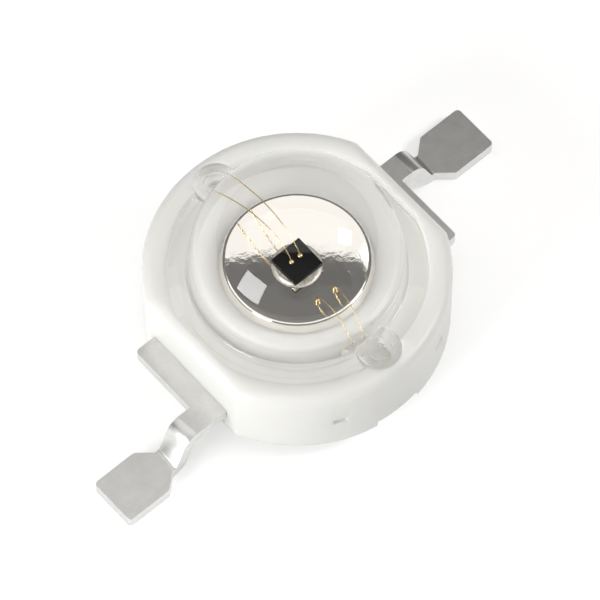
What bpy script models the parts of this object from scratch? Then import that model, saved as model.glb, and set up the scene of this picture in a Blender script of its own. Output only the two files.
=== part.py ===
"""High-power LED emitter: a bare lamp with a round moulded housing and a clear dome lens.

Frame: +Z up, metres. The origin is the centre of the slug's underside, the face that is
soldered down. The two leads run along X and the gel fill holes lie along Y. Turning the
lamp half a turn about Z swaps its two leads and changes nothing else of the casing.
"""
import math

import bmesh
import bpy
from mathutils import Matrix, Vector

MM = 0.001

# Fit between pieces
SEAT_GAP = 0.02 * MM            # between pieces that touch or are moulded round each other
CUT_MARGIN = 0.5 * MM           # how far a cutter runs past the face it opens

# Lens: a dome on a flat flange, with a boss round each fill hole
LENS_WALL = 0.48 * MM
LENS_CLEARANCE = 0.11 * MM      # between the hollow dome and the posts inside it
FLANGE_STEP_WIDTH = 0.36 * MM   # thick inner ring of the flange, outside the dome
FLANGE_STEP_RISE = 0.08 * MM    # how much higher it is than the edge
FLANGE_EDGE_WIDTH = 0.22 * MM
FLANGE_EDGE_THICKNESS = 0.34 * MM
FLANGE_FLAT_DEPTH = 0.12 * MM   # what each of the flange's two flats takes off
FLANGE_FILLET = 0.12 * MM
BOSS_RADIUS = 0.585 * MM
BOSS_RISE = 0.18 * MM           # above the flange's thick ring
BOSS_OUTSET = 0.36 * MM         # from the dome's foot to the boss centre
FILL_HOLE_RADIUS = 0.33 * MM

# Housing, the white moulding
BODY_WALL = 0.60 * MM           # outside the flange
FLAT_WALL = 0.32 * MM           # outside the flange's flats, where the leads leave
BODY_BOTTOM = 0.55 * MM
BODY_SHOULDER = 0.28 * MM       # rounding of the top outer edge
WELL_FLOOR = 1.95 * MM          # ring-shaped well for the gel
WELL_DEPTH = 0.41 * MM          # from the ledge that the flange sits on down to the floor
WELL_INSET = 0.05 * MM          # the well is this much smaller than the dome
WELL_DRAFT = 0.06 * MM          # and this much wider at its mouth
SEAT_DEPTH = 0.58 * MM          # from the housing's top down to that ledge
COLLAR_WALL = 0.43 * MM         # collar inside the well, round the slug's pedestal
COLLAR_HEIGHT = 0.81 * MM
COLLAR_EDGE = 0.08 * MM         # chamfer round the collar's top
GUTTER_RISE = 0.05 * MM         # gutter below a fill hole, above the well's floor
SKIRT_NOTCH_WIDTH = 1.38 * MM   # notch in the bottom edge below each fill hole
SKIRT_NOTCH_HEIGHT = 0.26 * MM
SKIRT_NOTCH_DEPTH = 0.45 * MM
WINDOW_WIDTH = 0.34 * MM        # small windows in the side wall, where the frame was held
WINDOW_HEIGHT = 0.22 * MM
WINDOW_DEPTH = 0.42 * MM
WINDOW_X = 1.69 * MM
WINDOW_RISE = 0.28 * MM         # from the leads' top to the windows' middle

# Slug, the silver-plated heat spreader
SLUG_BASE_RADIUS = 2.9 * MM
SLUG_BASE_TOP = 0.90 * MM
SLUG_BASE_CHAMFER = 0.10 * MM
SLUG_TOP_RADIUS = 1.25 * MM     # pedestal that stands on the base and carries the die
SLUG_PROUD = 0.26 * MM          # how far it stands out of the housing's collar
SLUG_RIM = 0.06 * MM            # chamfer round the top disc
DOME_LIFT = 0.26 * MM           # the dome's centre of curvature above the top disc

# Leads, stamped and formed from one strip
LEAD_THICKNESS = 0.36 * MM
BAR_TOP = 1.42 * MM
BAR_HALF_WIDTH = 1.46 * MM      # from the centre line to the bar's plain end
NECK_OUTER = 1.38 * MM          # to its other end, which runs on as the neck's outer edge
NECK_WIDTH = 0.70 * MM
BAR_PROUD = 0.64 * MM           # how far the bar stands out of the housing's flat
BAR_TO_KNEE = 0.54 * MM
KNEE_RUN = 0.42 * MM            # how far out the strip goes while it turns down
KNEE_TO_SHOULDER = 0.23 * MM
SHOULDER_RUN = 0.42 * MM        # where the neck widens to the paddle
PADDLE_LENGTH = 1.33 * MM
PADDLE_WIDTH = 1.42 * MM
PADDLE_TOP = 0.40 * MM
KNEE_RADIUS = 0.30 * MM
CORNER_RADIUS = 0.12 * MM
ARM_WIDTH = 0.58 * MM           # ring-shaped arm that carries the post round to the fill hole
ARM_END_DEG = 98.0
BAR_ROOT_DEG = -30.0            # where the arm's inner edge turns into the bar
POST_WIDTH = 0.56 * MM
POST_DEPTH = 0.36 * MM
POST_INSET = 0.15 * MM          # from the collar to the post
POST_SHIFT = 0.15 * MM          # from the centre line to the post's middle
POST_PROUD = 0.63 * MM          # above the well's floor

# Die and its solder bed
DIE_SIDE = 0.62 * MM
DIE_HEIGHT = 0.11 * MM
BED_FOOT_RADIUS = 0.42 * MM     # round fillet that shows at the middle of each side
BED_TOP_RADIUS = 0.37 * MM
BED_HEIGHT = 0.06 * MM

# Bond wires
WIRE_RADIUS = 0.0125 * MM
BALL_RADIUS = 0.042 * MM
BALL_FLATNESS = 0.8             # height of a ball bond to its width
DIE_BOND_SPACING = 0.19 * MM
DIE_BOND_Y = 0.03 * MM
DIE_LOOP_RISE = 0.34 * MM
SLUG_BOND_SPACING = 0.385 * MM
SLUG_BOND_Y = -0.77 * MM
SLUG_LOOP_RISE = 0.30 * MM
POST_BOND_SPACING = 0.38 * MM
LOOP_SPREAD = 0.9               # how evenly a loop runs out towards its post
LOOP_PEAK = 0.55                # below 1, the loop is highest nearer to its ball
LOOP_DROP = 3.2                 # above 1, it comes down late and steeply

# Faces round a full turn, and steps along an arc and along a wire
BODY_STEPS = 64
LENS_STEPS = 48
SMALL_STEPS = 20
ARC_STEPS = 4
WIRE_STEPS = 14

# Heights that follow
SEAT_FLOOR = WELL_FLOOR + WELL_DEPTH
BODY_TOP = SEAT_FLOOR + SEAT_DEPTH
COLLAR_TOP = WELL_FLOOR + COLLAR_HEIGHT
GUTTER_FLOOR = WELL_FLOOR + GUTTER_RISE
SLUG_TOP = COLLAR_TOP + SLUG_PROUD
POST_TOP = WELL_FLOOR + POST_PROUD
FLANGE_BOTTOM = SEAT_FLOOR + SEAT_GAP
FLANGE_EDGE_TOP = FLANGE_BOTTOM + FLANGE_EDGE_THICKNESS
FLANGE_TOP = FLANGE_EDGE_TOP + FLANGE_STEP_RISE
BOSS_TOP = FLANGE_TOP + BOSS_RISE
DOME_CENTRE = SLUG_TOP + DOME_LIFT
BED_BOTTOM = SLUG_TOP + SEAT_GAP / 2
DIE_BOTTOM = BED_BOTTOM + BED_HEIGHT + SEAT_GAP / 2
DIE_TOP = DIE_BOTTOM + DIE_HEIGHT

# Reaches from the centre that follow
COLLAR_RADIUS = SLUG_TOP_RADIUS + SEAT_GAP + COLLAR_WALL
POST_Y = COLLAR_RADIUS + POST_INSET + POST_DEPTH / 2
ARM_INNER_RADIUS = POST_Y - ARM_WIDTH / 2
ARM_OUTER_RADIUS = POST_Y + ARM_WIDTH / 2
CAVITY_RADIUS = POST_Y + POST_DEPTH / 2 + LENS_CLEARANCE
DOME_RADIUS = CAVITY_RADIUS + LENS_WALL
FLANGE_STEP_RADIUS = DOME_RADIUS + FLANGE_STEP_WIDTH
FLANGE_RADIUS = FLANGE_STEP_RADIUS + FLANGE_EDGE_WIDTH
FLANGE_FLAT = FLANGE_RADIUS - FLANGE_FLAT_DEPTH
BOSS_Y = DOME_RADIUS + BOSS_OUTSET
BODY_RADIUS = FLANGE_RADIUS + SEAT_GAP + BODY_WALL
BODY_FLAT = FLANGE_FLAT + SEAT_GAP + FLAT_WALL
WELL_RADIUS = DOME_RADIUS - WELL_INSET
WELL_MOUTH = WELL_RADIUS + WELL_DRAFT
BAR_REACH = BODY_FLAT + BAR_PROUD
KNEE_START = BAR_REACH + BAR_TO_KNEE
KNEE_END = KNEE_START + KNEE_RUN
SHOULDER_START = KNEE_END + KNEE_TO_SHOULDER
PADDLE_START = SHOULDER_START + SHOULDER_RUN
PADDLE_REACH = PADDLE_START + PADDLE_LENGTH

PARTS_NAME = "power_led_emitter"


def clear_scene():
    for obj in list(bpy.data.objects):
        bpy.data.objects.remove(obj, do_unlink=True)


def new_collection(name):
    collection = bpy.data.collections.new(name)
    bpy.context.scene.collection.children.link(collection)
    return collection


def new_material(name, colour, roughness, metallic=0.0, transmission=0.0):
    material = bpy.data.materials.new(name)
    material.use_nodes = True
    shader = material.node_tree.nodes["Principled BSDF"]
    shader.inputs["Base Color"].default_value = (*colour, 1.0)
    shader.inputs["Roughness"].default_value = roughness
    shader.inputs["Metallic"].default_value = metallic
    shader.inputs["Transmission Weight"].default_value = transmission
    return material


def move_to(obj, collection):
    for old in list(obj.users_collection):
        old.objects.unlink(obj)
    collection.objects.link(obj)


def shade_round(obj):
    obj.data.shade_smooth()
    obj.data.set_sharp_from_angle(angle=math.radians(35))


def as_cutter(obj, cutters):
    """A cutter or a guide: it shapes other pieces and is not a piece itself."""
    obj.hide_render = True
    obj.display_type = "WIRE"
    move_to(obj, cutters)
    return obj


def as_part(obj, parts, material):
    move_to(obj, parts)
    obj.data.materials.clear()
    obj.data.materials.append(material)
    shade_round(obj)
    return obj


def combine(obj, other, operation):
    modifier = obj.modifiers.new(f"{operation.lower()} {other.name}", "BOOLEAN")
    modifier.operation = operation
    modifier.solver = "EXACT"
    modifier.object = other
    return obj


def mesh_object(name, bm):
    bmesh.ops.recalc_face_normals(bm, faces=bm.faces)
    mesh = bpy.data.meshes.new(name)
    bm.to_mesh(mesh)
    bm.free()
    obj = bpy.data.objects.new(name, mesh)
    bpy.context.scene.collection.objects.link(obj)
    return obj


def box(name, size, centre):
    bm = bmesh.new()
    bmesh.ops.create_cube(bm, size=1.0, matrix=Matrix.Diagonal((*size, 1.0)))
    obj = mesh_object(name, bm)
    obj.location = centre
    return obj


def frustum(name, low_radius, high_radius, z_low, z_high, steps, x=0.0, y=0.0):
    bm = bmesh.new()
    bmesh.ops.create_cone(bm, cap_ends=True, segments=steps, radius1=low_radius,
                          radius2=high_radius, depth=z_high - z_low)
    obj = mesh_object(name, bm)
    obj.location = (x, y, (z_low + z_high) / 2)
    return obj


def round_edges(obj, radius):
    bevel = obj.modifiers.new("round edges", "BEVEL")
    bevel.width = radius
    bevel.segments = ARC_STEPS


def cylinder(name, radius, z_low, z_high, steps, x=0.0, y=0.0):
    return frustum(name, radius, radius, z_low, z_high, steps, x, y)


def turned(name, profile, steps):
    """Spin a profile of (radius, height) points, given down its outer side, about Z."""
    mesh = bpy.data.meshes.new(name)
    mesh.from_pydata([(r, 0.0, z) for r, z in profile],
                     [(i, i + 1) for i in range(len(profile) - 1)], [])
    obj = bpy.data.objects.new(name, mesh)
    bpy.context.scene.collection.objects.link(obj)
    screw = obj.modifiers.new("turn", "SCREW")
    screw.steps = screw.render_steps = steps
    screw.use_merge_vertices = True
    screw.merge_threshold = 1e-7
    screw.use_smooth_shade = True
    return obj


def ring_turned(name, profile, steps):
    """As turned, for a profile that closes on itself and leaves the axis free."""
    obj = turned(name, profile, steps)
    mesh = obj.data
    mesh.clear_geometry()
    count = len(profile)
    mesh.from_pydata([(r, 0.0, z) for r, z in profile],
                     [(i, (i + 1) % count) for i in range(count)], [])
    return obj


def arc(centre, radius, start_deg, end_deg, steps):
    """Points of an arc in a plane, both ends included."""
    points = []
    for i in range(steps + 1):
        angle = math.radians(start_deg + (end_deg - start_deg) * i / steps)
        points.append((centre[0] + radius * math.cos(angle), centre[1] + radius * math.sin(angle)))
    return points


def rounded(points, radius, steps=3):
    """Round each corner of an open path by an arc; its two ends stay."""
    path = [Vector(points[0])]
    for before, corner, after in zip(points, points[1:], points[2:]):
        corner = Vector(corner)
        back = (Vector(before) - corner).normalized()
        ahead = (Vector(after) - corner).normalized()
        half = back.angle(ahead) / 2
        reach = radius / math.tan(half)
        centre = corner + (back + ahead).normalized() * (radius / math.sin(half))
        first = corner + back * reach - centre
        last = corner + ahead * reach - centre
        for i in range(steps + 1):
            path.append(centre + first.lerp(last, i / steps).normalized() * radius)
    path.append(Vector(points[-1]))
    return path


def prism(name, outline, half_depth):
    """A flat outline as a filled 2D curve, thickened to both sides, made a mesh."""
    curve = bpy.data.curves.new(name, "CURVE")
    curve.dimensions = "2D"
    curve.fill_mode = "BOTH"
    curve.extrude = half_depth
    spline = curve.splines.new("POLY")
    spline.points.add(len(outline) - 1)
    for point, (u, v) in zip(spline.points, outline):
        point.co = (u, v, 0.0, 1.0)
    spline.use_cyclic_u = True
    return curve_to_mesh(name, curve)


def curve_to_mesh(name, curve):
    source = bpy.data.objects.new(name + " curve", curve)
    bpy.context.scene.collection.objects.link(source)
    bpy.context.view_layer.update()
    evaluated = source.evaluated_get(bpy.context.evaluated_depsgraph_get())
    mesh = bpy.data.meshes.new_from_object(evaluated)
    mesh.name = name
    bm = bmesh.new()
    bm.from_mesh(mesh)
    bmesh.ops.remove_doubles(bm, verts=bm.verts, dist=1e-7)
    bmesh.ops.recalc_face_normals(bm, faces=bm.faces)
    bm.to_mesh(mesh)
    bm.free()
    obj = bpy.data.objects.new(name, mesh)
    obj.matrix_world = source.matrix_world
    bpy.context.scene.collection.objects.link(obj)
    bpy.data.objects.remove(source, do_unlink=True)
    return obj


def flatted_ring(name, inner, outer, flat, z_low, z_high, steps, cutters):
    """A ring with two flats across X."""
    ring = ring_turned(name, [(inner, z_high), (outer, z_high), (outer, z_low), (inner, z_low)],
                       steps)
    depth = z_high - z_low
    sides = box(name + " sides", (2 * flat, 4 * outer, 2 * depth), (0, 0, (z_low + z_high) / 2))
    return combine(ring, as_cutter(sides, cutters), "INTERSECT")


def add_bosses(obj, radius, bottom, top, cutters):
    """Add a round boss, or the outline of its pocket, round each fill hole."""
    for side in (1, -1):
        boss = cylinder(f"{obj.name} boss {side}", radius, bottom, top, SMALL_STEPS,
                        y=side * BOSS_Y)
        combine(obj, as_cutter(boss, cutters), "UNION")
    return obj


def lead_plan(gap):
    """Outline of the lead that leaves at +X, seen from above: paddle, neck, bar and arm."""
    neck_high = NECK_OUTER + gap
    neck_low = NECK_OUTER - NECK_WIDTH - gap
    bar_end = BAR_HALF_WIDTH + gap
    middle = NECK_OUTER - NECK_WIDTH / 2
    paddle_high = middle + PADDLE_WIDTH / 2
    paddle_low = middle - PADDLE_WIDTH / 2
    outer, inner = ARM_OUTER_RADIUS + gap, ARM_INNER_RADIUS - gap
    outer_start = math.degrees(math.asin(neck_high / outer))
    end_deg = ARM_END_DEG + math.degrees(gap / inner)
    outside = [(SHOULDER_START, neck_low), (PADDLE_START, paddle_low), (PADDLE_REACH, paddle_low),
               (PADDLE_REACH, paddle_high), (PADDLE_START, paddle_high),
               (SHOULDER_START, neck_high)]
    outline = rounded([(BAR_REACH + gap, neck_low)] + outside + [(BAR_REACH, neck_high)],
                      CORNER_RADIUS)
    outline += arc((0, 0), outer, outer_start, end_deg, 3 * ARC_STEPS)
    outline += arc((0, 0), inner, end_deg, BAR_ROOT_DEG, 4 * ARC_STEPS)
    outline.append((outline[-1][0], -bar_end))
    corner = (BAR_REACH + gap - CORNER_RADIUS, -bar_end + CORNER_RADIUS)
    outline += arc(corner, CORNER_RADIUS, -90, 0, 3)
    return outline


def lead_side(gap):
    """Outline of the formed strip seen from the side, as (x, z) points."""
    half = LEAD_THICKNESS / 2 + gap
    bar_middle = BAR_TOP - LEAD_THICKNESS / 2
    paddle_middle = PADDLE_TOP - LEAD_THICKNESS / 2
    corners = [(-ARM_OUTER_RADIUS, bar_middle), (KNEE_START, bar_middle),
               (KNEE_END, paddle_middle), (PADDLE_REACH + CUT_MARGIN, paddle_middle)]
    path = rounded(corners, KNEE_RADIUS, ARC_STEPS)
    upper, lower = [], []
    for i, point in enumerate(path):
        ahead = path[min(i + 1, len(path) - 1)] - path[max(i - 1, 0)]
        normal = Vector((-ahead.y, ahead.x)).normalized()
        upper.append(tuple(point + normal * half))
        lower.append(tuple(point - normal * half))
    return upper + lower[::-1]


def lead_solid(name, gap, cutters):
    """A stamped and formed lead: where its plan and its side outline meet."""
    plan = prism(name, lead_plan(gap), BODY_TOP)
    side = prism(name + " side", lead_side(gap), BODY_RADIUS)
    side.rotation_euler = (math.radians(90), 0, 0)
    combine(plan, as_cutter(side, cutters), "INTERSECT")
    combine(plan, as_cutter(post_solid(name + " post", gap, 1), cutters), "UNION")
    return plan


def post_solid(name, gap, side):
    """The square post at the end of an arm, from inside the arm up to where the wires land."""
    bottom = BAR_TOP - LEAD_THICKNESS / 2
    top = POST_TOP + gap
    return box(name, (POST_WIDTH + 2 * gap, POST_DEPTH + 2 * gap, top - bottom),
               (side * POST_SHIFT, side * POST_Y, (top + bottom) / 2))


def half_turn(obj):
    """Turn a lead and the guides that shape it to the other side."""
    turn = Matrix.Rotation(math.pi, 4, "Z")
    for piece in [obj] + [modifier.object for modifier in obj.modifiers]:
        piece.matrix_world = turn @ piece.matrix_basis
    return obj


def make_leads(parts, cutters, material):
    leads = []
    for name, turn in (("lead_anode", False), ("lead_cathode", True)):
        lead = lead_solid(name, 0.0, cutters)
        if turn:
            half_turn(lead)
        leads.append(as_part(lead, parts, material))
    return leads


def slug_profile(gap):
    """The slug's outer side as (radius, height) points, grown by a gap."""
    top = SLUG_TOP + gap
    pedestal = SLUG_TOP_RADIUS + gap
    base = SLUG_BASE_RADIUS + gap
    return [(0.0, top), (pedestal - SLUG_RIM, top), (pedestal, top - SLUG_RIM),
            (pedestal, SLUG_BASE_TOP + gap), (base, SLUG_BASE_TOP + gap),
            (base, SLUG_BASE_CHAMFER), (base - SLUG_BASE_CHAMFER, 0.0), (0.0, 0.0)]


def make_slug(parts, material):
    return as_part(turned("slug", slug_profile(0.0), BODY_STEPS), parts, material)


def make_housing(parts, cutters, material):
    shoulder = arc((BODY_RADIUS - BODY_SHOULDER, BODY_TOP - BODY_SHOULDER), BODY_SHOULDER, 90, 0,
                   ARC_STEPS)
    collar_bore = SLUG_TOP_RADIUS + SEAT_GAP
    base_bore = SLUG_BASE_RADIUS + SEAT_GAP
    base_ceiling = SLUG_BASE_TOP + SEAT_GAP
    profile = shoulder + [(BODY_RADIUS, BODY_BOTTOM), (base_bore, BODY_BOTTOM),
                          (base_bore, base_ceiling), (collar_bore, base_ceiling),
                          (collar_bore, COLLAR_TOP), (COLLAR_RADIUS - COLLAR_EDGE, COLLAR_TOP),
                          (COLLAR_RADIUS, COLLAR_TOP - COLLAR_EDGE), (COLLAR_RADIUS, WELL_FLOOR),
                          (WELL_RADIUS, WELL_FLOOR), (WELL_MOUTH, SEAT_FLOOR),
                          (WELL_MOUTH, BODY_TOP)]
    housing = ring_turned("housing", profile, BODY_STEPS)
    flats = box("flats", (2 * BODY_FLAT, 4 * BODY_RADIUS, 4 * BODY_TOP), (0, 0, -BODY_TOP))
    round_edges(flats, BODY_SHOULDER)
    combine(housing, as_cutter(flats, cutters), "INTERSECT")
    open_top = BODY_TOP + CUT_MARGIN
    clear_of_collar = (COLLAR_RADIUS + WELL_RADIUS) / 2
    recess = flatted_ring("lens recess", clear_of_collar, FLANGE_RADIUS + SEAT_GAP,
                          FLANGE_FLAT + SEAT_GAP, SEAT_FLOOR, open_top, BODY_STEPS, cutters)
    add_bosses(recess, BOSS_RADIUS + SEAT_GAP, SEAT_FLOOR, open_top, cutters)
    combine(housing, as_cutter(recess, cutters), "DIFFERENCE")
    for side in (1, -1):
        cut_fill_gutter(housing, side, cutters)
        cut_skirt_notch(housing, side, cutters)
        for offset in (1, -1):
            cut_window(housing, side, offset, cutters)
    for turn in (False, True):
        slot = lead_solid(f"lead slot {int(turn)}", SEAT_GAP, cutters)
        if turn:
            half_turn(slot)
        combine(housing, as_cutter(slot, cutters), "DIFFERENCE")
    return as_part(housing, parts, material)


def gutter_solid(name, radius, bottom, top, side):
    """A run from the well out to a fill hole, with a half-round end under the hole."""
    inner = WELL_RADIUS - CUT_MARGIN / 2
    outline = [(-radius, inner), (radius, inner)]
    outline += arc((0, BOSS_Y), radius, 0, 180, SMALL_STEPS // 2)
    solid = prism(name, outline, (top - bottom) / 2)
    solid.matrix_world = (Matrix.Translation((0, 0, (top + bottom) / 2))
                          @ Matrix.Rotation(0 if side > 0 else math.pi, 4, "Z"))
    return solid


def cut_fill_gutter(housing, side, cutters):
    """The gutter below a fill hole, open to the well, that lets the gel run in."""
    gutter = gutter_solid(f"gutter {side}", FILL_HOLE_RADIUS, GUTTER_FLOOR, SEAT_FLOOR + SEAT_GAP,
                          side)
    combine(housing, as_cutter(gutter, cutters), "DIFFERENCE")


def cut_skirt_notch(housing, side, cutters):
    notch = box(f"skirt notch {side}", (SKIRT_NOTCH_WIDTH, 2 * SKIRT_NOTCH_DEPTH,
                                        2 * SKIRT_NOTCH_HEIGHT),
                (0, side * BODY_RADIUS, BODY_BOTTOM))
    combine(housing, as_cutter(notch, cutters), "DIFFERENCE")


def cut_window(housing, side, offset, cutters):
    wall_y = math.sqrt(BODY_RADIUS ** 2 - WINDOW_X ** 2)
    window = box(f"window {side} {offset}", (WINDOW_WIDTH, 2 * WINDOW_DEPTH, WINDOW_HEIGHT),
                 (offset * WINDOW_X, side * wall_y, BAR_TOP + WINDOW_RISE))
    combine(housing, as_cutter(window, cutters), "DIFFERENCE")


def dome_profile(radius, bottom):
    """A hemisphere on a short straight skirt, down its outer side and back to the axis."""
    points = arc((0, DOME_CENTRE), radius, 90, 0, 3 * ARC_STEPS)
    points[0] = (0.0, DOME_CENTRE + radius)
    return points + [(radius, bottom), (0.0, bottom)]


def make_lens(parts, cutters, material):
    """The hollow dome and its stepped flange turned as one, then flatted and drilled."""
    fillet = arc((DOME_RADIUS + FLANGE_FILLET, FLANGE_TOP + FLANGE_FILLET), FLANGE_FILLET, 180,
                 270, 2)
    profile = dome_profile(DOME_RADIUS, FLANGE_TOP)[:-2] + fillet
    profile += [(FLANGE_STEP_RADIUS, FLANGE_TOP), (FLANGE_STEP_RADIUS, FLANGE_EDGE_TOP),
                (FLANGE_RADIUS, FLANGE_EDGE_TOP), (FLANGE_RADIUS, FLANGE_BOTTOM)]
    profile += dome_profile(CAVITY_RADIUS, FLANGE_BOTTOM)[-2::-1]
    lens = turned("lens", profile, LENS_STEPS)
    sides = box("lens sides", (2 * FLANGE_FLAT, 4 * BODY_RADIUS, 4 * (DOME_CENTRE + DOME_RADIUS)),
                (0, 0, 0))
    combine(lens, as_cutter(sides, cutters), "INTERSECT")
    add_bosses(lens, BOSS_RADIUS, FLANGE_BOTTOM, BOSS_TOP, cutters)
    for side in (1, -1):
        hole = cylinder(f"fill hole {side}", FILL_HOLE_RADIUS, SEAT_FLOOR - CUT_MARGIN,
                        BOSS_TOP + CUT_MARGIN, SMALL_STEPS, y=side * BOSS_Y)
        combine(lens, as_cutter(hole, cutters), "DIFFERENCE")
    return as_part(lens, parts, material)


def bed_solid(name, gap):
    """The round fillet of solder that the square die sits in."""
    return frustum(name, BED_FOOT_RADIUS + gap, BED_TOP_RADIUS + gap, BED_BOTTOM - gap,
                   BED_BOTTOM + BED_HEIGHT + gap, SMALL_STEPS)


def make_die(parts, die_material, bed_material):
    bed = as_part(bed_solid("die_attach", 0.0), parts, bed_material)
    die = box("die", (DIE_SIDE, DIE_SIDE, DIE_HEIGHT), (0, 0, (DIE_BOTTOM + DIE_TOP) / 2))
    return bed, as_part(die, parts, die_material)


def wire_ends():
    """Each bond wire as its name, its ball bond, its stitch on a post, and its loop's rise."""
    lift = SEAT_GAP / 2
    wires = []
    for label, side in (("a", -1), ("b", 1)):
        die_ball = Vector((side * DIE_BOND_SPACING / 2, DIE_BOND_Y, DIE_TOP + lift))
        slug_ball = Vector((side * SLUG_BOND_SPACING / 2, SLUG_BOND_Y, SLUG_TOP + lift))
        across = side * POST_BOND_SPACING / 2
        wires.append((f"bond_wire_die_{label}", die_ball,
                      Vector((across + POST_SHIFT, POST_Y, POST_TOP + lift)), DIE_LOOP_RISE))
        wires.append((f"bond_wire_slug_{label}", slug_ball,
                      Vector((across - POST_SHIFT, -POST_Y, POST_TOP + lift)), SLUG_LOOP_RISE))
    return wires


def wire_route(ball, stitch, rise):
    """A bonded loop: up from the ball, over, and down steeply to the stitch."""
    start = ball + Vector((0, 0, BALL_RADIUS))
    end = stitch + Vector((0, 0, WIRE_RADIUS))
    points = []
    for i in range(WIRE_STEPS + 1):
        t = i / WIRE_STEPS
        point = start.lerp(end, t ** LOOP_SPREAD)
        point.z = start.z + (end.z - start.z) * t ** LOOP_DROP
        point.z += rise * math.sin(math.pi * t ** LOOP_PEAK)
        points.append(point)
    return points


def wire_solid(name, ball, stitch, rise, gap, cutters):
    curve = bpy.data.curves.new(name, "CURVE")
    curve.dimensions = "3D"
    curve.bevel_depth = WIRE_RADIUS + gap
    curve.bevel_resolution = 1 if gap else 2
    curve.use_fill_caps = True
    points = wire_route(ball, stitch, rise)
    spline = curve.splines.new("POLY")
    spline.points.add(len(points) - 1)
    for knot, point in zip(spline.points, points):
        knot.co = (*point, 1.0)
    wire = curve_to_mesh(name, curve)
    bm = bmesh.new()
    flatten = Matrix.Diagonal((1.0, 1.0, BALL_FLATNESS, 1.0))
    bmesh.ops.create_uvsphere(bm, u_segments=10, v_segments=6, radius=BALL_RADIUS + gap,
                              matrix=flatten)
    bond = mesh_object(name + " ball", bm)
    bond.location = ball + Vector((0, 0, BALL_FLATNESS * BALL_RADIUS))
    return combine(wire, as_cutter(bond, cutters), "UNION")


def make_wires(parts, cutters, material):
    return [as_part(wire_solid(name, ball, stitch, rise, 0.0, cutters), parts, material)
            for name, ball, stitch, rise in wire_ends()]


def make_gel(parts, cutters, material):
    """The clear gel: it fills the well and the lens, round everything that is inside."""
    cavity = CAVITY_RADIUS - SEAT_GAP
    collar = COLLAR_RADIUS + SEAT_GAP
    top = SEAT_FLOOR - SEAT_GAP / 2
    floor = WELL_FLOOR + SEAT_GAP
    profile = dome_profile(cavity, top)[:-1]
    profile += [(WELL_MOUTH - SEAT_GAP, top), (WELL_RADIUS - SEAT_GAP, floor), (collar, floor),
                (collar, COLLAR_TOP - COLLAR_EDGE + SEAT_GAP),
                (collar - COLLAR_EDGE, COLLAR_TOP + SEAT_GAP), (0.0, COLLAR_TOP + SEAT_GAP)]
    gel = turned("gel", profile, LENS_STEPS)
    for side in (1, -1):
        add_fill_plug(gel, side, cutters)
    slug = turned("slug space", slug_profile(SEAT_GAP), LENS_STEPS)
    die_side = DIE_SIDE + 2 * SEAT_GAP
    die = box("die space", (die_side, die_side, DIE_HEIGHT + 2 * SEAT_GAP),
              (0, 0, (DIE_BOTTOM + DIE_TOP) / 2))
    spaces = [slug, bed_solid("bed space", SEAT_GAP), die]
    spaces += [post_solid(f"post space {side}", SEAT_GAP, side) for side in (1, -1)]
    for name, ball, stitch, rise in wire_ends():
        spaces.append(wire_solid(name + " space", ball, stitch, rise, SEAT_GAP, cutters))
    for space in spaces:
        combine(gel, as_cutter(space, cutters), "DIFFERENCE")
    return as_part(gel, parts, material)


def add_fill_plug(gel, side, cutters):
    """The gel that stands in a gutter and in the fill hole above it."""
    radius = FILL_HOLE_RADIUS - SEAT_GAP
    run = gutter_solid(f"fill run {side}", radius, GUTTER_FLOOR + SEAT_GAP,
                       SEAT_FLOOR - SEAT_GAP, side)
    plug = cylinder(f"fill plug {side}", radius - SEAT_GAP, GUTTER_FLOOR + 2 * SEAT_GAP,
                    FLANGE_TOP, SMALL_STEPS, y=side * BOSS_Y)
    for added in (run, plug):
        combine(gel, as_cutter(added, cutters), "UNION")


def build():
    clear_scene()
    parts = new_collection(PARTS_NAME)
    cutters = new_collection("cutters")
    white = new_material("white moulding", (0.86, 0.85, 0.83), 0.45)
    silver = new_material("silver plate", (0.86, 0.84, 0.80), 0.22, metallic=1.0)
    tinned = new_material("tinned copper", (0.62, 0.62, 0.62), 0.42, metallic=1.0)
    gold = new_material("gold wire", (0.95, 0.66, 0.24), 0.25, metallic=1.0)
    dark_die = new_material("die", (0.03, 0.03, 0.035), 0.2)
    solder = new_material("solder", (0.66, 0.64, 0.6), 0.35, metallic=1.0)
    clear = new_material("clear lens", (0.97, 0.97, 0.96), 0.03, transmission=1.0)
    soft_clear = new_material("clear gel", (0.97, 0.97, 0.96), 0.05, transmission=1.0)
    make_slug(parts, silver)
    make_leads(parts, cutters, tinned)
    make_housing(parts, cutters, white)
    make_die(parts, dark_die, solder)
    make_wires(parts, cutters, gold)
    make_gel(parts, cutters, soft_clear)
    make_lens(parts, cutters, clear)


build()
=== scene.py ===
import math

import bmesh
import bpy
from mathutils import Matrix, Vector


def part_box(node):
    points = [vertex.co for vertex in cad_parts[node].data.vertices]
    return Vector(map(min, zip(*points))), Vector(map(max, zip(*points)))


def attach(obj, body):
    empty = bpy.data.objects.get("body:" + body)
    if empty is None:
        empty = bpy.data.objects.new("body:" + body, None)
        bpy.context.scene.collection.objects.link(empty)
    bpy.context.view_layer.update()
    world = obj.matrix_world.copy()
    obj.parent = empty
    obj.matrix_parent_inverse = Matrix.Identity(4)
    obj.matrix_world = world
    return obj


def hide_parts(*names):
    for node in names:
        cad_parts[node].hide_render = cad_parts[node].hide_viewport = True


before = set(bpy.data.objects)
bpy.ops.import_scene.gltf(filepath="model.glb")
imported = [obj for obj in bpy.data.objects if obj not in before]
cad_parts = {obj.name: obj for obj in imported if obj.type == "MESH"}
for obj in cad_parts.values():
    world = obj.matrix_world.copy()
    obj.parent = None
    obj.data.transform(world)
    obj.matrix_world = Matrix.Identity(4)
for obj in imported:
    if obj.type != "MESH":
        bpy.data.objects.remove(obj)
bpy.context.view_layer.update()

MM = 0.001

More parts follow.
